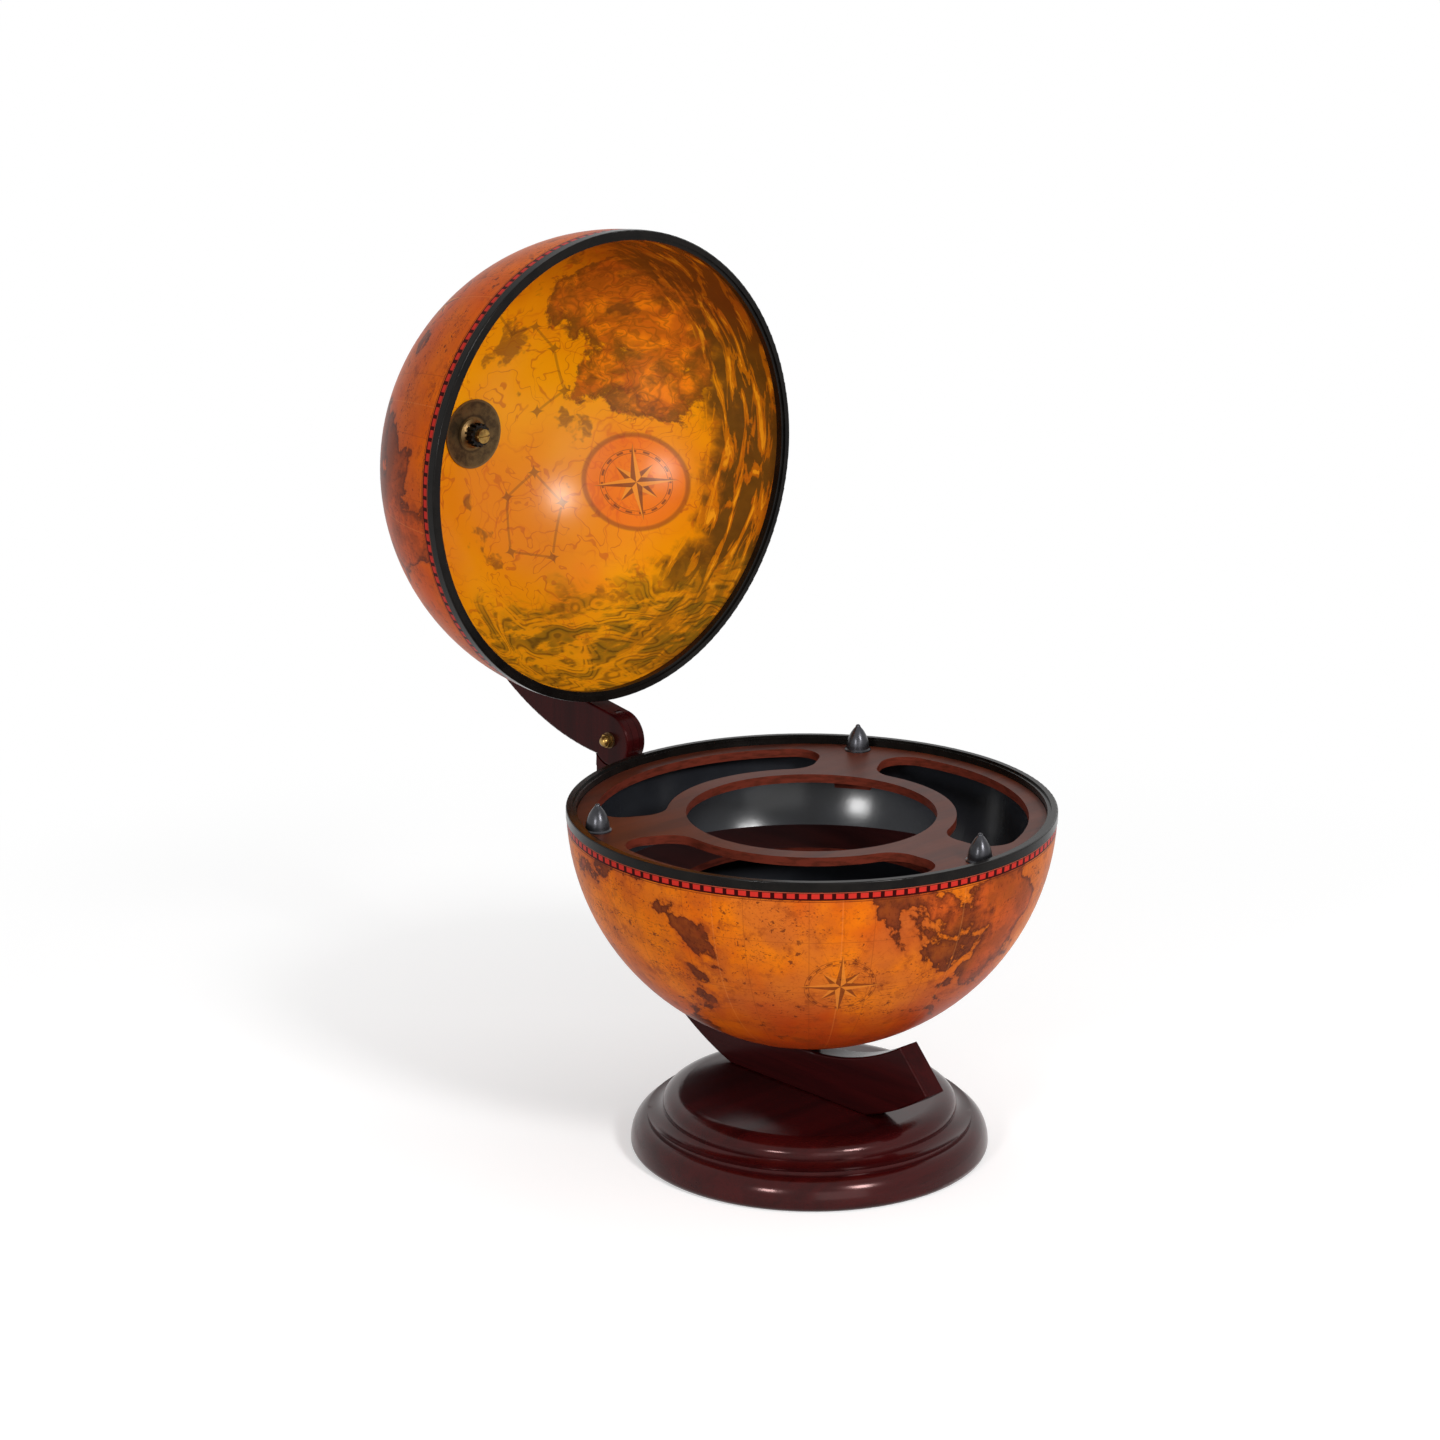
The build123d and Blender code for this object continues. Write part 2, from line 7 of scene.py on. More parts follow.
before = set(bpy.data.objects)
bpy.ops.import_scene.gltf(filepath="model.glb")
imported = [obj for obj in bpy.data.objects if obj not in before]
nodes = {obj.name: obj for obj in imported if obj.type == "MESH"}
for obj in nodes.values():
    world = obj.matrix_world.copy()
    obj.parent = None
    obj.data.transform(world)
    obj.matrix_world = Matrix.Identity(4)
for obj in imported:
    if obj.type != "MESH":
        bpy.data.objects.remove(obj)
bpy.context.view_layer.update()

# Places on the part
BOWL_CENTRE = Vector((0, 0, 0.245))
LID_CENTRE = Vector((0, 0.192, 0.4432))
WALL_MIDDLE = 0.1628  # radius that parts the outside of a half from its inside
WALL_BLEND = 0.0004  # on either side of it

# Tints of what varnish reflects
WARM = (1.0, 0.76, 0.5, 1.0)  # over the outer print
GOLDEN = (1.0, 0.9, 0.78, 1.0)  # over the lining
ROSY = (1.0, 0.62, 0.6, 1.0)  # over the red wood

# Layout of the outer print: angles in degrees, the belt's depths in mm below the plane where the halves meet
GRATICULE_STEP = 15.0
GORE_STEP = 30.0
ROSE_LONGITUDE = -127.0
ROSE_LATITUDE = 28.0
ROSE_RADIUS = 0.17  # in radians of arc
ROSE_POINTS = 16  # ticks round every rose, and rhumb lines from this one
BELT_BLOCKS = 132
BELT_EDGE = 12.2
BELT_ROW = 9.5
BELT_HAIRLINE = 7.2
BELT_BORDER = 13.3
LAND_HEARTS = (  # directions round which land gathers, and how strongly
    ((0.127, -0.905, -0.407), 0.09),
    ((0.4, -0.9, -0.17), 0.06),
    ((-0.918, 0.129, -0.375), 0.05),
    ((-0.816, 0.071, 0.574), 0.07),
)
SHORE = 0.554  # height of the land's noise at the coast

# Layout of the lining: across and up from the pole, with the rim at 1
CLOUD_BANK = (0.47, 0.36)
DISC = (0.5, -0.2)
DISC_RADIUS = 0.155
DISC_ROSE_RADIUS = 0.13
CONSTELLATIONS = (
    ((0.02, 0.38), (0.1, 0.3), (0.17, 0.32), (0.25, 0.24), (0.3, 0.1), (0.22, 0.04)),
    ((0.1, -0.2), (0.2, -0.14), (0.27, -0.24), (0.19, -0.4), (0.06, -0.36), (0.1, -0.2)),
)
STAR_SIZE = 0.026
STAR_LINE_WIDTH = 0.0035


def srgb(red, green, blue):
    """An 8-bit sRGB colour as a linear RGBA tuple."""
    line = [c / 255 for c in (red, green, blue)]
    return tuple(c / 12.92 if c <= 0.04045 else ((c + 0.055) / 1.055) ** 2.4 for c in line) + (1.0,)


# ---------------------------------------------------------------- writing nodes
MIX_SOCKETS = {"FLOAT": (2, 3, 0), "RGBA": (6, 7, 2)}  # first input, second input and output


class Value:
    """A node's output socket with arithmetic on it."""

    def __init__(self, graph, socket):
        self.graph = graph
        self.socket = socket

    def __add__(self, other):
        return self.graph.math("ADD", self, other)

    def __radd__(self, other):
        return self.graph.math("ADD", other, self)

    def __sub__(self, other):
        return self.graph.math("SUBTRACT", self, other)

    def __rsub__(self, other):
        return self.graph.math("SUBTRACT", other, self)

    def __mul__(self, other):
        return self.graph.math("MULTIPLY", self, other)

    def __truediv__(self, other):
        return self.graph.math("DIVIDE", self, other)

    def __neg__(self):
        return self.graph.math("MULTIPLY", self, -1.0)

    def __abs__(self):
        return self.graph.math("ABSOLUTE", self)


class Graph:
    """The node tree of a new material or world, written as expressions."""

    def __init__(self, name, world=False):
        self.owner = bpy.data.worlds.new(name) if world else bpy.data.materials.new(name)
        self.output_kind = "ShaderNodeOutputWorld" if world else "ShaderNodeOutputMaterial"
        self.owner.use_nodes = True
        self.tree = self.owner.node_tree
        self.tree.nodes.clear()

    def put(self, value, socket):
        """Link a Value to the socket, or set a plain number or colour on it."""
        if isinstance(value, Value):
            self.tree.links.new(value.socket, socket)
        elif value is not None:
            socket.default_value = value

    def node(self, kind, **inputs):
        """A node whose sockets are given by name, with _ for a space."""
        made = self.tree.nodes.new(kind)
        for key, value in inputs.items():
            self.put(value, made.inputs[key.replace("_", " ")])
        return made

    def operate(self, kind, operation, values, result):
        """A math node with the values on its first sockets."""
        made = self.tree.nodes.new(kind)
        made.operation = operation
        for socket, value in zip(made.inputs, values):
            self.put(value, socket)
        return Value(self, made.outputs[result])

    def math(self, operation, *values):
        """An operation on numbers."""
        return self.operate("ShaderNodeMath", operation, values, "Value")

    def vector(self, operation, *values, result="Vector"):
        """An operation on vectors; the result is "Value" where it is a number."""
        return self.operate("ShaderNodeVectorMath", operation, values, result)

    def times(self, value, factor):
        """A vector scaled by a number."""
        made = self.tree.nodes.new("ShaderNodeVectorMath")
        made.operation = "SCALE"
        self.put(value, made.inputs[0])
        self.put(factor, made.inputs["Scale"])
        return Value(self, made.outputs[0])

    def moved(self, at, *offset):
        """The coordinates shifted, so that one noise doesn't repeat another."""
        return self.vector("ADD", at, offset)

    def coordinates(self):
        """The place on the part, in metres in the frame at rest."""
        return Value(self, self.node("ShaderNodeTexCoord").outputs["Object"])

    def normal(self):
        """The surface's direction in the frame at rest."""
        return Value(self, self.node("ShaderNodeTexCoord").outputs["Normal"])

    def split(self, value):
        """The X, Y and Z of a vector."""
        made = self.tree.nodes.new("ShaderNodeSeparateXYZ")
        self.put(value, made.inputs[0])
        return [Value(self, out) for out in made.outputs]

    def join(self, x, y, z):
        """A vector from its X, Y and Z."""
        made = self.tree.nodes.new("ShaderNodeCombineXYZ")
        for socket, value in zip(made.inputs, (x, y, z)):
            self.put(value, socket)
        return Value(self, made.outputs[0])

    def noise(self, at, scale, detail=3.0, rough=0.55, warp=0.0, colour=False):
        """Noise round 0.5; as a colour it is a vector of three of them."""
        made = self.node(
            "ShaderNodeTexNoise", Vector=at, Scale=scale, Detail=detail, Roughness=rough, Distortion=warp
        )
        return Value(self, made.outputs["Color" if colour else "Fac"])

    def cells(self, at, scale, feature="F1", random=1.0, smooth=None):
        """Voronoi distance; the feature says to what."""
        made = self.tree.nodes.new("ShaderNodeTexVoronoi")
        made.feature = feature
        self.put(at, made.inputs["Vector"])
        self.put(scale, made.inputs["Scale"])
        self.put(random, made.inputs["Randomness"])
        if smooth is not None:
            self.put(smooth, made.inputs["Smoothness"])
        return Value(self, made.outputs["Distance"])

    def step(self, value, low, high):
        """0 below low, 1 above high, smooth between; high may be below low."""
        made = self.tree.nodes.new("ShaderNodeMapRange")
        made.interpolation_type = "SMOOTHSTEP"
        flip = high < low
        if flip:
            low, high = high, low
        limits = {"From Min": low, "From Max": high, "To Min": float(flip), "To Max": float(not flip)}
        for key, number in limits.items():
            made.inputs[key].default_value = number
        self.put(value, made.inputs["Value"])
        return Value(self, made.outputs["Result"])

    def between(self, kind, factor, first, second):
        """A Mix node, which has a set of sockets for each kind of data."""
        first_at, second_at, result_at = MIX_SOCKETS[kind]
        made = self.tree.nodes.new("ShaderNodeMix")
        made.data_type = kind
        self.put(factor, made.inputs[0])
        self.put(first, made.inputs[first_at])
        self.put(second, made.inputs[second_at])
        return Value(self, made.outputs[result_at])

    def mix(self, factor, first, second):
        """The first colour at 0, the second at 1."""
        return self.between("RGBA", factor, first, second)

    def blend(self, factor, first, second):
        """The first number at 0, the second at 1."""
        return self.between("FLOAT", factor, first, second)

    def line(self, value, half_width, soft=0.6):
        """1 where value is within half_width of a whole number."""
        away = abs(self.math("FRACT", value + 0.5) - 0.5)
        return self.step(away, half_width * (1 + soft), half_width * (1 - soft))

    def bump(self, height, distance, strength=1.0):
        """A normal tilted by the height, whose 1 stands for the distance in metres."""
        made = self.node("ShaderNodeBump", Strength=strength, Distance=distance, Height=height)
        return Value(self, made.outputs[0])

    def background_rays(self):
        """1 on the rays that see the white background: camera, glossy and transmission rays."""
        path = self.node("ShaderNodeLightPath").outputs
        camera, glossy, through = (
            Value(self, path[key]) for key in ("Is Camera Ray", "Is Glossy Ray", "Is Transmission Ray")
        )
        return self.math("MAXIMUM", camera, self.math("MAXIMUM", glossy, through))

    def shader(self, **inputs):
        """A Principled shader."""
        return self.node("ShaderNodeBsdfPrincipled", **inputs).outputs[0]

    def choose(self, factor, first, second):
        """The first shader at 0, the second at 1."""
        made = self.tree.nodes.new("ShaderNodeMixShader")
        self.put(factor, made.inputs[0])
        self.tree.links.new(first, made.inputs[1])
        self.tree.links.new(second, made.inputs[2])
        return made.outputs[0]

    def surface(self, **inputs):
        """The finished material of one Principled shader."""
        return self.finish(self.shader(**inputs))

    def finish(self, socket):
        """Send the shader to the output; returns the material or world."""
        output = self.tree.nodes.new(self.output_kind)
        self.tree.links.new(socket, output.inputs["Surface"])
        return self.owner


# ---------------------------------------------------------------- prints
def rose(g, across, up, radius, face, ink):
    """A plain compass rose; returns its (cover, colour) at tangent coordinates across and up."""
    far = g.math("SQRT", across * across + up * up) / radius
    angle = g.math("ARCTAN2", up, across)
    ticks = g.line(angle * (ROSE_POINTS / (2 * math.pi)), 0.25, 0.12)
    quarter = math.pi / 2
    eighth = math.pi / 4
    star = None
    dark = None
    # Four short points between the main ones, then the four long points over them.
    for turn, tip, waist in ((eighth, 0.6, 0.2), (0.0, 0.98, 0.17)):
        turned = g.math("FLOORED_MODULO", angle + turn + eighth, quarter) - eighth
        fold = abs(turned)
        reach = far * g.math("COSINE", fold)
        side = far * g.math("SINE", fold)
        slope = (tip - waist * math.cos(eighth)) / (waist * math.sin(eighth))
        inside = g.step(reach + side * slope, tip + 0.02, tip - 0.02)
        tone = g.blend(g.step(turned, -0.01, 0.01), 0.15, 1.0)
        star = g.math("MAXIMUM", star, inside) if star else inside
        dark = g.blend(inside, dark, tone) if dark else tone
    ring = g.step(abs(far - 0.78), 0.035, 0.02)
    outer_line = g.step(abs(far - 0.83), 0.01, 0.004)
    both_lines = g.math("MAXIMUM", outer_line, g.step(abs(far - 0.73), 0.01, 0.004))
    cover = g.math("MAXIMUM", star, g.math("MAXIMUM", ring * ticks, both_lines))
    return cover, g.mix(g.blend(star, 1.0, dark), face, ink)


def globe_frame(g, lid):
    """Local coordinates of a half as if the globe were shut: Z is the polar axis, the rim is at 0."""
    centre = LID_CENTRE if lid else BOWL_CENTRE
    x, y, z = g.split(g.vector("SUBTRACT", g.coordinates(), tuple(centre)))
    if lid:
        y, z = -z, y
    return g.join(x, y, z)


def chart(g, local):
    """The printed outside: an antique-looking imaginary map with a graticule and a scale belt."""
    radius = g.vector("LENGTH", local, result="Value")
    ball = g.vector("NORMALIZE", local)
    x, y, z = g.split(ball)
    latitude = g.math("ARCSINE", z) * (180 / math.pi)
    longitude = g.math("ARCTAN2", y, x) * (180 / math.pi)
    around = g.math("SQRT", 1.0 - z * z)

    # Varnished paper, redder and darker towards the pole.
    patina = g.noise(ball, 1.9, 4.0, 0.6)
    cloud = g.noise(g.moved(ball, 3.1, 0.4, 7.7), 6.5, 5.0, 0.6)
    paper = g.noise(ball, 75.0, 4.0, 0.65)
    lid_painted_shade = g.step(z, -0.01, 0.01)
    sea = g.mix(g.step(patina, 0.36, 0.66), srgb(214, 112, 12), srgb(186, 78, 16))
    sea = g.mix(g.step(cloud, 0.44, 0.66) * 0.5, sea, srgb(154, 72, 30))
    dusk = g.noise(g.moved(ball, 9.0, 3.0, 2.0), 2.3, 3.0, 0.55)
    sea = g.mix(g.step(dusk, 0.42, 0.6) * 0.6, sea, srgb(172, 88, 38))
    sea = g.mix(g.step(paper, 0.5, 0.72) * 0.4, sea, srgb(140, 58, 20))
    sea = g.mix(g.step(abs(latitude) + (patina - 0.5) * 40.0, 24.0, 58.0) * 0.8, sea, srgb(160, 48, 16))
    # Painted shade: the lid's half of the print is made redder and darker, standing in for the shade the open
    # lid is in.
    sea = g.mix(lid_painted_shade * 0.4, sea, srgb(194, 68, 8))

    # Land, kept to the sides of the open sea that faces the front left.
    front = g.vector("DOT_PRODUCT", ball, (-0.5, -0.85, 0.0), result="Value")
    shifted = g.moved(ball, 11.3, 4.2, 2.6)
    form = g.noise(shifted, 1.75, 9.0, 0.58, 0.3)
    ragged = form + (g.noise(ball, 24.0, 4.0, 0.6) - 0.5) * 0.04 - g.step(front, 0.6, 1.0) * 0.06
    for heart, lift in LAND_HEARTS:
        near = g.vector("DOT_PRODUCT", ball, heart, result="Value")
        ragged = ragged + g.step(near, 0.87, 0.97) * lift
    land = g.step(ragged, SHORE - 0.002, SHORE + 0.004)
    shore = g.step(abs(ragged - SHORE), 0.009, 0.002)
    wash = g.step(ragged, 0.6, 0.55) * land
    haze = g.step(ragged, 0.515, 0.552) * (1.0 - land)
    dark_land = g.step(g.noise(g.moved(ball, 2.0, 6.0, 4.0), 1.4, 2.0, 0.5), 0.46, 0.56)
    interior = g.mix(dark_land, srgb(178, 72, 28), srgb(98, 42, 24))
    interior = g.mix(g.step(g.noise(ball, 9.0, 6.0, 0.65), 0.42, 0.62) * 0.6, interior, srgb(92, 40, 22))
    colour = g.mix(land * 0.8, sea, interior)
    colour = g.mix(wash * 0.8, colour, srgb(78, 34, 22))
    colour = g.mix(haze * 0.45, colour, srgb(150, 62, 26))
    colour = g.mix(shore * 0.6, colour, srgb(56, 24, 14))

    # Islets with their outlines, soundings and hachures.
    smudge = g.noise(g.moved(ball, 6.0, 2.0, 5.0), 11.0, 6.0, 0.7)
    colour = g.mix(g.step(smudge, 0.52, 0.68) * 0.62, colour, srgb(124, 52, 22))
    speck = g.noise(ball, 30.0, 4.0, 0.6)
    region = g.noise(g.moved(ball, 5.0, 9.0, 1.0), 4.2, 2.0, 0.5)
    islets = g.step(speck, 0.635, 0.652) * g.step(region, 0.4, 0.54) * (1.0 - land)
    colour = g.mix(islets * 0.8, colour, srgb(88, 40, 20))
    grit = g.step(g.noise(g.moved(ball, 8.0, 1.0, 3.0), 95.0, 2.0, 0.5), 0.62, 0.68)
    grit = grit * g.step(region, 0.46, 0.6)
    colour = g.mix(grit * 0.6, colour, srgb(96, 42, 20))
    marks = g.step(g.noise(g.join(longitude * 0.9, latitude * 1.5, 3.0), 1.6, 3.0, 0.65), 0.55, 0.62)
    rows = g.step(g.noise(g.join(longitude * 0.06, latitude * 0.3, 9.0), 1.3, 2.0, 0.5), 0.55, 0.64)
    colour = g.mix(marks * rows * 0.85, colour, srgb(92, 38, 20))
    hills = g.step(g.noise(g.join(longitude * 0.5, latitude * 0.16, 3.0), 4.0, 3.0, 0.6), 0.58, 0.66) * land
    colour = g.mix(hills * 0.45, colour, srgb(66, 28, 14))
    swell = g.line(latitude * 0.9 + (patina - 0.5) * 6.0, 0.14)
    broken = g.step(g.noise(g.join(longitude * 0.12, latitude * 1.1, 0.0), 3.0, 2.0, 0.5), 0.55, 0.64)
    swell_at = g.step(g.noise(g.moved(ball, 1.0, 2.0, 8.0), 3.4, 2.0, 0.5), 0.55, 0.64)
    colour = g.mix(swell * broken * swell_at * (1.0 - land) * 0.75, colour, srgb(112, 46, 20))

    # Graticule, gore seams, and a compass rose with its rhumb lines on the open sea.
    parallels = g.line(latitude / GRATICULE_STEP, 0.007)
    meridians = g.step(abs(g.math("FRACT", longitude / GRATICULE_STEP + 0.5) - 0.5) * around, 0.010, 0.004)
    seams = g.step(abs(g.math("FRACT", longitude / GORE_STEP + 0.75) - 0.5) * around, 0.006, 0.002)
    colour = g.mix(g.math("MAXIMUM", parallels, meridians) * 0.3, colour, srgb(104, 46, 20))
    colour = g.mix(seams * 0.14, colour, srgb(232, 150, 80))
    rose_east = (longitude - ROSE_LONGITUDE) * around * (math.pi / 180)
    rose_north = (abs(latitude) - ROSE_LATITUDE) * (-math.pi / 180)
    apart = g.math("SQRT", rose_east * rose_east + rose_north * rose_north)
    bearing = g.math("ARCTAN2", rose_north, rose_east) * (ROSE_POINTS / (2 * math.pi))
    rhumb = g.step(abs(g.math("FRACT", bearing + 0.5) - 0.5) * apart, 0.0022, 0.0008)
    colour = g.mix(rhumb * g.step(apart, 0.75, 0.35) * 0.34, colour, srgb(96, 42, 20))
    cover, inked = rose(g, rose_east, rose_north, ROSE_RADIUS, srgb(218, 128, 44), srgb(86, 36, 18))
    colour = g.mix(cover * 0.7, colour, inked)

    # The scale belt under the rim.
    depth = abs(z * radius) * 1000.0
    band = g.step(depth, BELT_EDGE + 0.3, BELT_EDGE)
    block = g.line(longitude * (BELT_BLOCKS / 360.0), 0.33, 0.06)
    row = g.step(abs(depth - BELT_ROW), 1.85, 1.55)
    colour = g.mix(band, colour, srgb(48, 8, 9))
    colour = g.mix(band * block * row, colour, srgb(178, 42, 34))
    hairline = g.step(abs(depth - BELT_HAIRLINE), 0.3, 0.15)
    colour = g.mix(hairline * band * 0.6, colour, srgb(200, 96, 70))
    border = g.step(abs(depth - BELT_BORDER), 0.5, 0.2)
    colour = g.mix(border * 0.7, colour, srgb(84, 32, 18))
    return colour, paper


def star_chart(g, u, v, points, size, width):
    """A small made-up constellation: four-pointed stars joined by lines; returns its cover."""
    cover = None
    last = None
    root = math.sqrt(size)
    for point in map(Vector, points):
        across = abs(u - point.x)
        up = abs(v - point.y)
        star = g.step(g.math("SQRT", across) + g.math("SQRT", up), root * 1.08, root * 0.96)
        cover = g.math("MAXIMUM", cover, star) if cover else star
        if last:
            # The line runs over the middle four fifths of the way from the last star.
            span = point - last
            along = ((u - last.x) * span.x + (v - last.y) * span.y) / span.length_squared
            along = g.math("MINIMUM", g.math("MAXIMUM", along, 0.1), 0.9)
            off_u = u - last.x - along * span.x
            off_v = v - last.y - along * span.y
            away = g.math("SQRT", off_u * off_u + off_v * off_v)
            cover = g.math("MAXIMUM", cover, g.step(away, width * 1.5, width * 0.6) * 0.7)
        last = point
    return cover


def lining(g, local):
    """The printed inside of the lid: a golden sky with cloud banks, swell and brushwork, and painted shade
    towards the top.
    """
    x, y, z = g.split(local)
    up = -y
    flat = g.math("SQRT", x * x + up * up)
    tilt = g.math("ARCTAN2", flat, z) * (2 / math.pi)
    u = x / flat * tilt
    v = up / flat * tilt
    at = g.join(u, v, 0.0)
    turn = g.math("ARCTAN2", v, u)

    mood = g.noise(at, 1.6, 3.0, 0.5)
    field = g.mix(g.step(mood, 0.35, 0.65), srgb(230, 152, 2), srgb(214, 124, 4))
    # Painted shade: the lining darker towards the top, where the lid's rim shades it.
    field = g.mix(g.step(v + (mood - 0.5) * 0.4, 0.36, 0.9) * 0.9, field, srgb(150, 62, 14))
    field = g.mix(g.step(v, -0.3, -0.8) * 0.6, field, srgb(222, 158, 12))
    field = g.mix(g.step(tilt, 0.84, 1.0) * g.step(v, -0.3, 0.3) * 0.4, field, srgb(132, 66, 10))

    # Pen-drawn billows all over.
    swirl = g.noise(at, 5.0, 3.0, 0.6, colour=True)
    bent = g.vector("ADD", at, g.times(g.vector("SUBTRACT", swirl, (0.5, 0.5, 0.5)), 0.22))
    pen = g.line(g.noise(bent, 3.4, 3.0, 0.55, 0.8) * 11.0, 0.055, 0.5)
    pen = pen * g.step(g.noise(g.moved(at, 2.0, 5.0, 0.0), 4.5, 2.0, 0.5), 0.34, 0.52)
    field = g.mix(pen * 0.6, field, srgb(176, 80, 18))
    vein = g.step(g.cells(bent, 7.5, "DISTANCE_TO_EDGE"), 0.035, 0.0)
    vein = vein * g.step(g.noise(at, 3.3, 2.0, 0.5), 0.42, 0.62)
    field = g.mix(vein * 0.42, field, srgb(186, 74, 18))
    blush = g.step(g.noise(g.moved(at, 4.0, 1.0, 0.0), 3.0, 3.0, 0.5), 0.56, 0.76)
    field = g.mix(blush * 0.4, field, srgb(214, 96, 26))

    # Cloud banks: a large one above the middle and small ones scattered below it.
    fray = g.noise(g.moved(at, 1.5, 8.0, 0.0), 3.8, 7.0, 0.66, 0.3) - 0.5
    bank_u = (u - CLOUD_BANK[0] + (v - CLOUD_BANK[1]) * 0.3) * 3.7
    bank_v = (v - CLOUD_BANK[1]) * 3.0
    core = bank_u * bank_u + bank_v * bank_v + fray * 4.6
    bank = g.step(core, 1.05, 0.85)
    fringe = g.step(core, 0.3, 0.85)
    scud = g.step(g.noise(g.moved(at, 7.0, 3.0, 0.0), 5.4, 4.0, 0.6) + fray * 0.3, 0.6, 0.64)
    scud = scud * g.step(tilt, 0.8, 0.7)
    curl = g.noise(bent, 13.0, 5.0, 0.68, 0.6)
    puff = g.step(g.cells(bent, 12.0, "SMOOTH_F1", 1.0, 0.2) + (curl - 0.5) * 0.35, 0.3, 0.56)
    creases = g.step(g.cells(bent, 12.0, "DISTANCE_TO_EDGE"), 0.09, 0.02)
    ridge = g.line(g.noise(bent, 7.0, 2.0, 0.5, 1.2) * 9.0, 0.12, 0.8)
    cloud = g.mix(puff, srgb(226, 120, 16), srgb(186, 88, 20))
    cloud = g.mix(fringe * g.step(curl, 0.34, 0.54) * 0.9, cloud, srgb(76, 48, 20))
    cloud = g.mix(creases * 0.4, cloud, srgb(104, 50, 18))
    cloud = g.mix(ridge * 0.5, cloud, srgb(80, 44, 18))
    field = g.mix(bank * 0.84, field, cloud)
    field = g.mix(scud * g.step(curl, 0.36, 0.56) * 0.7, field, srgb(108, 64, 22))

    # Brushwork that follows the rim on the right and over the top, where the ground under it is also darkened
    # as painted shade.
    streak_at = g.join(turn * 2.6, tilt * 20.0, 0.0)
    brush = g.noise(streak_at, 1.5, 5.0, 0.6, 0.9)
    streak = g.step(brush, 0.465, 0.525)
    gleam = g.step(brush, 0.43, 0.36)
    edge = tilt + (g.noise(at, 7.0, 4.0, 0.6) - 0.5) * 0.4
    side = g.step(edge, 0.68, 0.82) * g.step(u, 0.05, 0.4)
    olive = g.mix(g.noise(at, 11.0, 4.0, 0.65), srgb(50, 38, 14), srgb(112, 74, 20))
    field = g.mix(side * 0.6, field, srgb(146, 78, 14))
    field = g.mix(gleam * side * 0.85, field, srgb(230, 152, 24))
    field = g.mix(streak * side * 0.94, field, olive)
    # Painted shade: a darker ground near the rim over the top, where the rim shades the lining; the streaks
    # on it are brushwork.
    top = g.step(edge, 0.66, 0.9) * g.step(v, 0.25, 0.6)
    field = g.mix(top * 0.45, field, srgb(112, 48, 12))
    field = g.mix(top * streak * 0.6, field, srgb(80, 36, 14))

    # Swell along the bottom.
    heave = g.noise(g.join(u * 1.9, v * 1.6, 0.0), 2.6, 2.0, 0.45, 0.4)
    ripple = g.line(v * 7.5 + heave * 4.2, 0.27, 0.9)
    thread = g.line(v * 30.0 + heave * 16.8, 0.17, 0.8)
    low = g.step(v + (g.noise(at, 4.0, 3.0, 0.6) - 0.5) * 0.35, -0.46, -0.62)
    wet = g.step(g.noise(g.join(u * 4.0, v * 11.0, 5.0), 2.0, 4.0, 0.6), 0.4, 0.54)
    field = g.mix(low * 0.4, field, srgb(200, 130, 16))
    field = g.mix(low * ripple * wet * 0.8, field, srgb(102, 84, 20))
    field = g.mix(low * thread * wet * 0.65, field, srgb(62, 48, 18))

    # A disc with a compass rose, and two made-up constellations.
    disc_u = u - DISC[0]
    disc_v = v - DISC[1]
    far = g.math("SQRT", disc_u * disc_u + disc_v * disc_v)
    field = g.mix(g.step(far, DISC_RADIUS + 0.01, DISC_RADIUS - 0.015) * 0.6, field, srgb(216, 96, 20))
    field = g.mix(g.step(abs(far - DISC_RADIUS), 0.012, 0.003) * 0.6, field, srgb(110, 48, 20))
    cover, inked = rose(g, disc_u, disc_v, DISC_ROSE_RADIUS, srgb(230, 150, 44), srgb(82, 44, 20))
    field = g.mix(cover * 0.75, field, inked)
    for points in CONSTELLATIONS:
        stars = star_chart(g, u, v, points, STAR_SIZE, STAR_LINE_WIDTH)
        field = g.mix(stars * 0.62, field, srgb(96, 56, 20))
    return field


# ---------------------------------------------------------------- materials
GRAIN_X, GRAIN_Y, GRAIN_Z = 0, 1, 2


def half_shell(name, lid):
    """Print outside; the lid has a printed lining, the bowl a glossy black one."""
    g = Graph(name)
    local = globe_frame(g, lid)
    radius = g.vector("LENGTH", local, result="Value")
    outside = g.step(radius, WALL_MIDDLE - WALL_BLEND, WALL_MIDDLE + WALL_BLEND)
    colour, paper = chart(g, local)
    orange_peel = g.bump(g.noise(local, 160.0, 2.0, 0.5), 0.0001, 0.25)
    printed = g.shader(
        Base_Color=colour,
        Roughness=0.32 + (paper - 0.5) * 0.08,
        IOR=1.09,
        Specular_Tint=WARM,
        Normal=orange_peel,
    )
    if lid:
        inner = g.shader(
            Base_Color=lining(g, local),
            Roughness=0.25 + (paper - 0.5) * 0.06,
            IOR=1.34,
            Specular_Tint=GOLDEN,
            Normal=orange_peel,
        )
    else:
        haze = g.noise(g.coordinates(), 45.0, 4.0, 0.6)
        inner = g.shader(
            Base_Color=g.mix(haze, srgb(24, 25, 28), srgb(37, 39, 44)),
            Roughness=0.17 + (haze - 0.5) * 0.08,
            IOR=1.36,
            Normal=orange_peel,
        )
    return g.finish(g.choose(outside, inner, printed))


def grain(g, place, along, across_scale, along_scale):
    """The place with a scale of its own along one axis, for noise that is drawn out or layered."""
    scales = [across_scale] * 3
    scales[along] = along_scale
    return g.vector("MULTIPLY", place, tuple(scales))


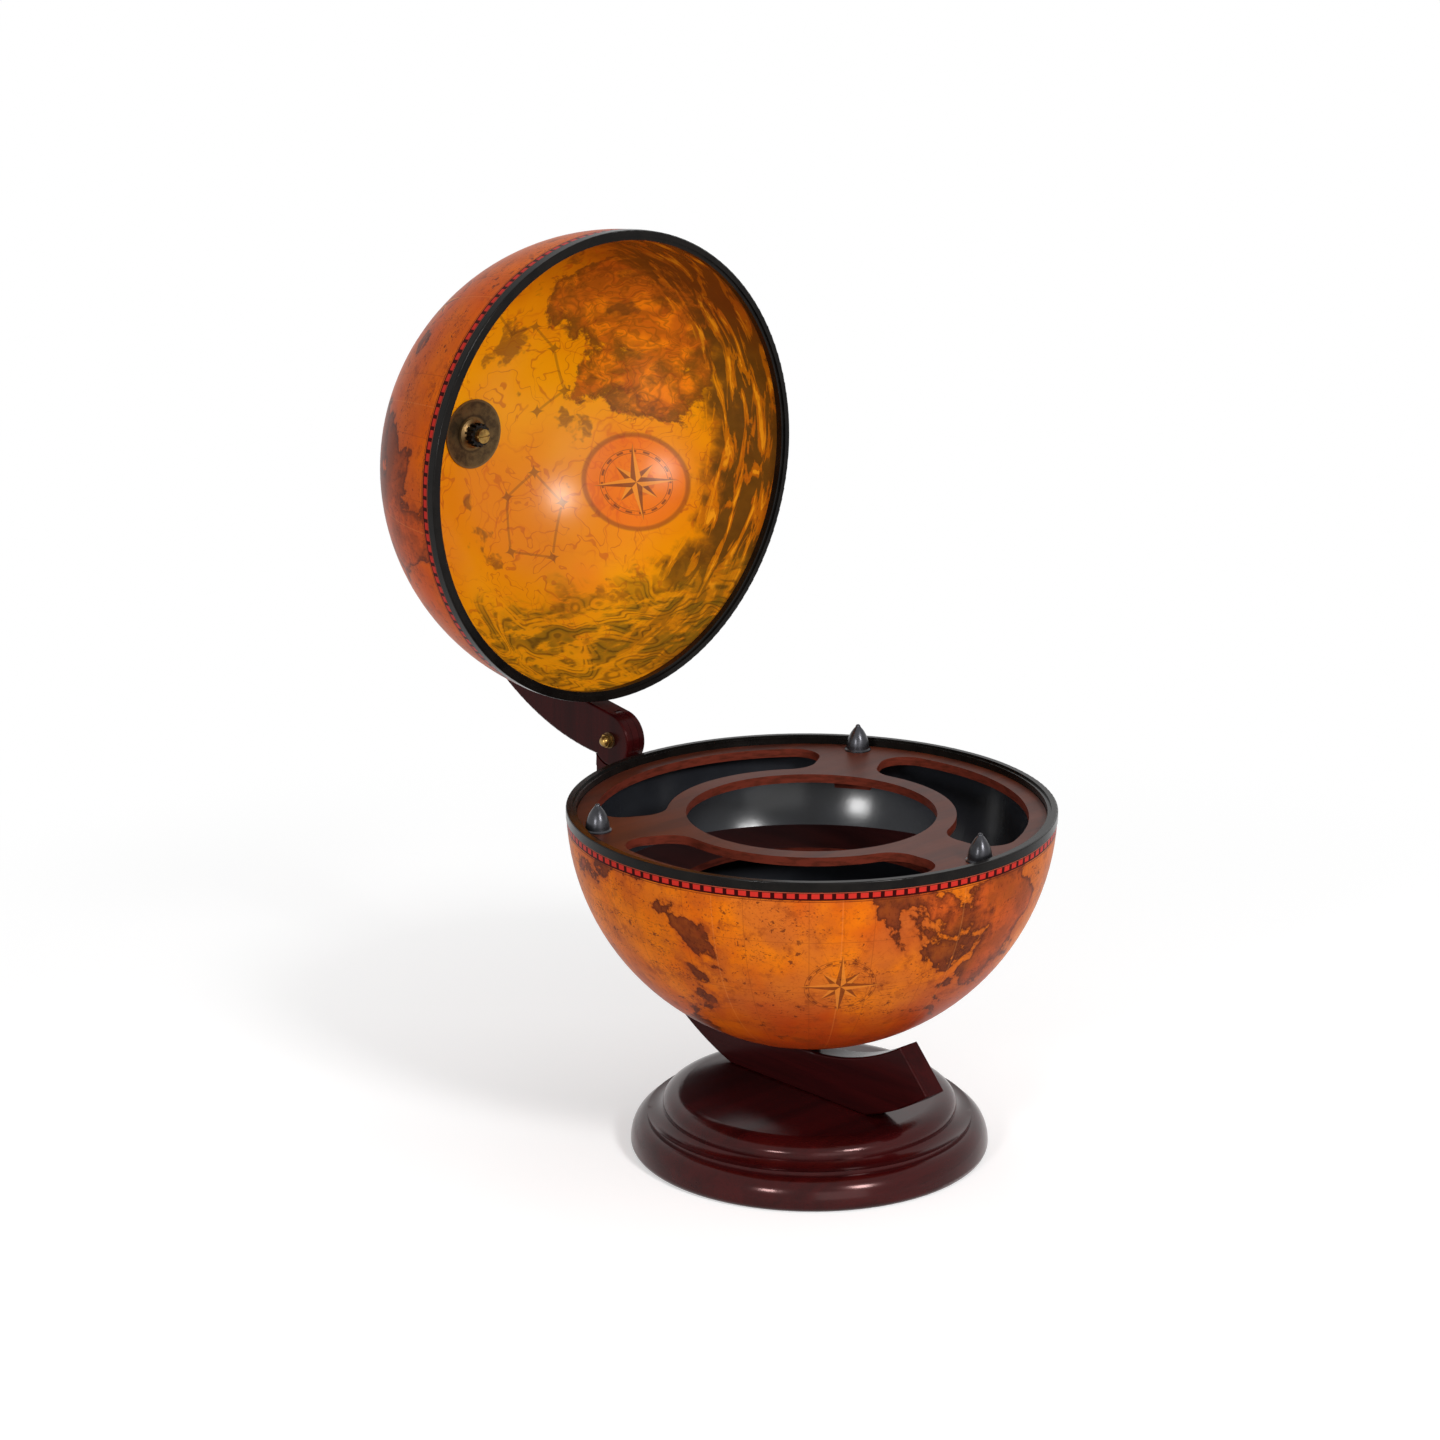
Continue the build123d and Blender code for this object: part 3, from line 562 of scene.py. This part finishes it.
def wood(name, light, dark, pore, along, roughness, ior, cut_light=None):
    """Varnished wood with its grain along an axis; cut_light is the colour of upright sawn edges."""
    g = Graph(name)
    place = g.coordinates()
    figure = g.noise(grain(g, place, along, 52.0, 4.0), 1.0, 5.0, 0.62, 0.4)
    fibre = g.noise(grain(g, place, along, 520.0, 16.0), 1.0, 3.0, 0.6)
    colour = g.mix(g.step(figure, 0.3, 0.72), light, dark)
    colour = g.mix(g.step(fibre, 0.55, 0.72) * 0.4, colour, pore)
    if cut_light:
        upright = g.step(abs(g.split(g.normal())[2]), 0.75, 0.35)
        plies = g.noise(grain(g, place, GRAIN_Z, 90.0, 420.0), 1.0, 3.0, 0.6)
        edge = g.mix(g.step(plies, 0.42, 0.66) * 0.6, cut_light, dark)
        colour = g.mix(upright * 0.8, colour, edge)
    wear = g.noise(place, 26.0, 4.0, 0.6)
    height = fibre * 0.5 + g.noise(place, 220.0, 2.0, 0.5) * 0.5
    return g.surface(
        Base_Color=colour,
        Roughness=roughness + (wear - 0.5) * 0.1,
        IOR=ior,
        Specular_Tint=ROSY,
        Normal=g.bump(height, 0.0001, 0.22),
    )


def satin(name, pale, deep, roughness, metallic=0.0, scale=70.0, ior=1.5):
    """A satin solid colour or metal with slight mottling and rubbed patches."""
    g = Graph(name)
    place = g.coordinates()
    mottle = g.noise(place, scale, 4.0, 0.6)
    rub = g.noise(place, scale * 3.0, 3.0, 0.6)
    return g.surface(
        Base_Color=g.mix(g.step(mottle, 0.35, 0.68), pale, deep),
        Roughness=roughness + (rub - 0.5) * 0.14,
        Metallic=metallic,
        IOR=ior,
        Normal=g.bump(rub, 0.00008, 0.3),
    )


def aged_disc(name, lid):
    """Turned bronze with ring marks round the pole, dark tarnish and a painted highlight round its edge."""
    g = Graph(name)
    local = globe_frame(g, lid)
    x, y, z = g.split(local)
    far = g.math("SQRT", x * x + y * y) * 1000.0
    rings = g.noise(g.join(far * 1.6, 0.0, 0.0), 1.0, 3.0, 0.6)
    tarnish = g.noise(local, 150.0, 5.0, 0.65)
    colour = g.mix(g.step(tarnish, 0.35, 0.68), srgb(96, 76, 48), srgb(58, 45, 30))
    colour = g.mix(g.step(far, 14.0, 12.0) * 0.5, colour, srgb(134, 104, 62))
    colour = g.mix(g.step(abs(far - 13.0), 1.2, 0.4) * 0.6, colour, srgb(30, 22, 15))
    # Painted highlight: the disc's outer edge lighter, as where it catches the lamps.
    colour = g.mix(g.step(far, 23.0, 24.6) * 0.6, colour, srgb(122, 96, 60))
    colour = g.mix(g.step(rings, 0.5, 0.7) * 0.4, colour, srgb(36, 26, 18))
    return g.surface(
        Base_Color=colour,
        Metallic=0.85,
        Roughness=0.36 + (tarnish - 0.5) * 0.16,
        Normal=g.bump(rings, 0.0002, 0.4),
    )


def felt(name):
    """Short green felt."""
    g = Graph(name)
    place = g.coordinates()
    fibre = g.noise(place, 900.0, 3.0, 0.7)
    return g.surface(
        Base_Color=g.mix(fibre, srgb(20, 44, 30), srgb(44, 78, 54)),
        Roughness=0.93 + (fibre - 0.5) * 0.1,
        Sheen_Weight=0.4,
        Normal=g.bump(fibre, 0.0004, 0.7),
    )


# ---------------------------------------------------------------- finishes of the CAD pieces
MAHOGANY = (srgb(52, 8, 9), srgb(33, 5, 6), srgb(22, 3, 4))
turned_wood = wood("mahogany_turned", *MAHOGANY, GRAIN_X, roughness=0.17, ior=1.36)
lower_wood = wood("mahogany_lower", *MAHOGANY, GRAIN_Y, roughness=0.22, ior=1.18)
upper_wood = wood("mahogany_upper", *MAHOGANY, GRAIN_Z, roughness=0.22, ior=1.18)
board = wood(
    "holder_board", srgb(78, 34, 18), srgb(54, 23, 14), srgb(34, 14, 10), GRAIN_X,
    roughness=0.42, ior=1.22, cut_light=srgb(106, 44, 32),
)
plain_board = wood(
    "floor_board", srgb(46, 15, 13), srgb(32, 10, 9), srgb(20, 7, 7), GRAIN_Y,
    roughness=0.36, ior=1.22, cut_light=srgb(90, 38, 28),
)
beech = wood(
    "dowel_beech", srgb(206, 168, 116), srgb(180, 138, 90), srgb(140, 100, 62), GRAIN_Z,
    roughness=0.6, ior=1.4,
)
black = satin("black_edging", srgb(18, 15, 13), srgb(10, 8, 7), roughness=0.2, ior=1.2)
peg_grey = satin("peg_grey", srgb(62, 62, 66), srgb(44, 44, 47), roughness=0.28, metallic=0.75)
brass = satin("brass", srgb(176, 142, 78), srgb(112, 84, 42), roughness=0.3, metallic=0.9, scale=160.0)
old_brass = satin("old_brass", srgb(112, 86, 54), srgb(66, 48, 30), roughness=0.4, metallic=0.85, scale=160.0)
black_steel = satin("black_steel", srgb(22, 20, 19), srgb(12, 11, 11), roughness=0.36, ior=1.3)
zinc = satin("zinc_steel", srgb(168, 170, 172), srgb(120, 122, 124), roughness=0.35, metallic=0.9)

finishes = {
    "base_plinth": turned_wood,
    "lower_arm": lower_wood,
    "upper_arm": upper_wood,
    "felt_disc": felt("felt"),
    "foot_screws": zinc,
    "foot_dowels": beech,
    "bowl_shell": half_shell("bowl_print", False),
    "lid_shell": half_shell("lid_print", True),
    "bowl_rim": black,
    "lid_rim": black,
    "top_shelf": board,
    "ring_shelf": plain_board,
    "bowl_floor": plain_board,
    "shelf_blocks": plain_board,
    "shelf_pegs": peg_grey,
    "bowl_pole_disc": aged_disc("bowl_disc_bronze", False),
    "lid_pole_disc": aged_disc("lid_disc_bronze", True),
    "bowl_pole_bolt": brass,
    "lid_pole_bolt": brass,
    "bowl_pole_nut": zinc,
    "lid_pole_nut": zinc,
    "bowl_pole_hub": black_steel,
    "lid_pole_hub": black_steel,
    "bowl_spacer": black_steel,
    "lid_spacer": black_steel,
    "hinge_bolt": brass,
    "hinge_washers": old_brass,
    "hinge_cap_nut": brass,
}
for name, material in finishes.items():
    slots = nodes[name].data.materials
    slots.clear()
    slots.append(material)


# ---------------------------------------------------------------- floor, world, lamps and camera
WHITE = (1.0, 1.0, 1.0, 1.0)
FLOOR_COLOUR = (0.72, 0.72, 0.72, 1.0)
FLOOR_LIFT = 0.4  # added where the background is seen, so that the lit floor comes out pale
FLOOR_FADE = (0.3, 1.0)  # distances over which the floor turns plain white
FLOOR_HALF = 40.0
AMBIENT = 0.42
LAMP_DISTANCE = 2.2
LAMP_AIM = Vector((0, 0.08, 0.3))
CAMERA_TURN = math.radians(46.8)
CAMERA_TILT = math.radians(16.45)
CAMERA_DISTANCE = 2.547
CAMERA_SIDESTEP = -0.06155
CAMERA_LIFT = 0.0558


def floor_material():
    """A white floor that keeps the shadow near the object and is plain white further off."""
    g = Graph("floor_white")
    x, y, z = g.split(g.coordinates())
    far = g.step(g.math("SQRT", x * x + y * y), *FLOOR_FADE)
    seen = g.background_rays()
    lit = g.tree.nodes.new("ShaderNodeAddShader")
    g.tree.links.new(g.node("ShaderNodeBsdfDiffuse", Color=FLOOR_COLOUR).outputs[0], lit.inputs[0])
    lift = g.node("ShaderNodeEmission", Color=WHITE, Strength=seen * FLOOR_LIFT)
    g.tree.links.new(lift.outputs[0], lit.inputs[1])
    plain = g.node("ShaderNodeEmission", Color=WHITE, Strength=1.0)
    return g.finish(g.choose(far * seen, lit.outputs[0], plain.outputs[0]))


def studio():
    """A soft even world that the background rays see as plain white."""
    g = Graph("studio", world=True)
    ambient = g.node("ShaderNodeBackground", Color=WHITE, Strength=AMBIENT)
    plain = g.node("ShaderNodeBackground", Color=WHITE, Strength=1.0)
    return g.finish(g.choose(g.background_rays(), ambient.outputs[0], plain.outputs[0]))


def placed(name, data):
    """A new object in the scene's collection."""
    made = bpy.data.objects.new(name, data)
    bpy.context.collection.objects.link(made)
    return made


def softbox(name, azimuth, elevation, width, height, power):
    """An area lamp that faces the object; azimuth 0 is in front (-Y), positive towards +X."""
    a = math.radians(azimuth)
    e = math.radians(elevation)
    lamp = bpy.data.lights.new(name, "AREA")
    lamp.shape = "RECTANGLE"
    lamp.size = width
    lamp.size_y = height
    lamp.energy = power
    made = placed(name, lamp)
    towards = Vector((math.sin(a) * math.cos(e), -math.cos(a) * math.cos(e), math.sin(e)))
    made.location = LAMP_AIM + towards * LAMP_DISTANCE
    made.rotation_euler = towards.to_track_quat("Z", "Y").to_euler()


floor_mesh = bpy.data.meshes.new("floor")
corners = [(x * FLOOR_HALF, y * FLOOR_HALF, 0) for x, y in ((-1, -1), (1, -1), (1, 1), (-1, 1))]
floor_mesh.from_pydata(corners, [], [(0, 1, 2, 3)])
floor = placed("floor", floor_mesh)
floor.data.materials.append(floor_material())

bpy.context.scene.world = studio()
softbox("softbox_right", azimuth=-8, elevation=29, width=0.38, height=0.42, power=29)
softbox("softbox_left", azimuth=-68, elevation=16, width=0.36, height=0.26, power=15)
softbox("softbox_front", azimuth=-24, elevation=3, width=1.2, height=1.2, power=7)
softbox("softbox_top", azimuth=140, elevation=62, width=1.2, height=1.2, power=10)

right = Vector((math.sin(CAMERA_TURN), -math.cos(CAMERA_TURN), 0))
level = Vector((math.cos(CAMERA_TURN), math.sin(CAMERA_TURN), 0))
forward = level * math.cos(CAMERA_TILT) - Vector((0, 0, math.sin(CAMERA_TILT)))
upward = right.cross(forward)
lens = bpy.data.cameras.new("camera")
lens.lens = 94.75
lens.sensor_width = 36.0
lens.clip_end = 200.0
camera = placed("camera", lens)
eye = BOWL_CENTRE + CAMERA_SIDESTEP * right + CAMERA_LIFT * upward - CAMERA_DISTANCE * forward
turned = Matrix((right, upward, -forward)).transposed()
camera.matrix_world = Matrix.Translation(eye) @ turned.to_4x4()
bpy.context.scene.camera = camera
bpy.context.scene.view_settings.view_transform = "Standard"
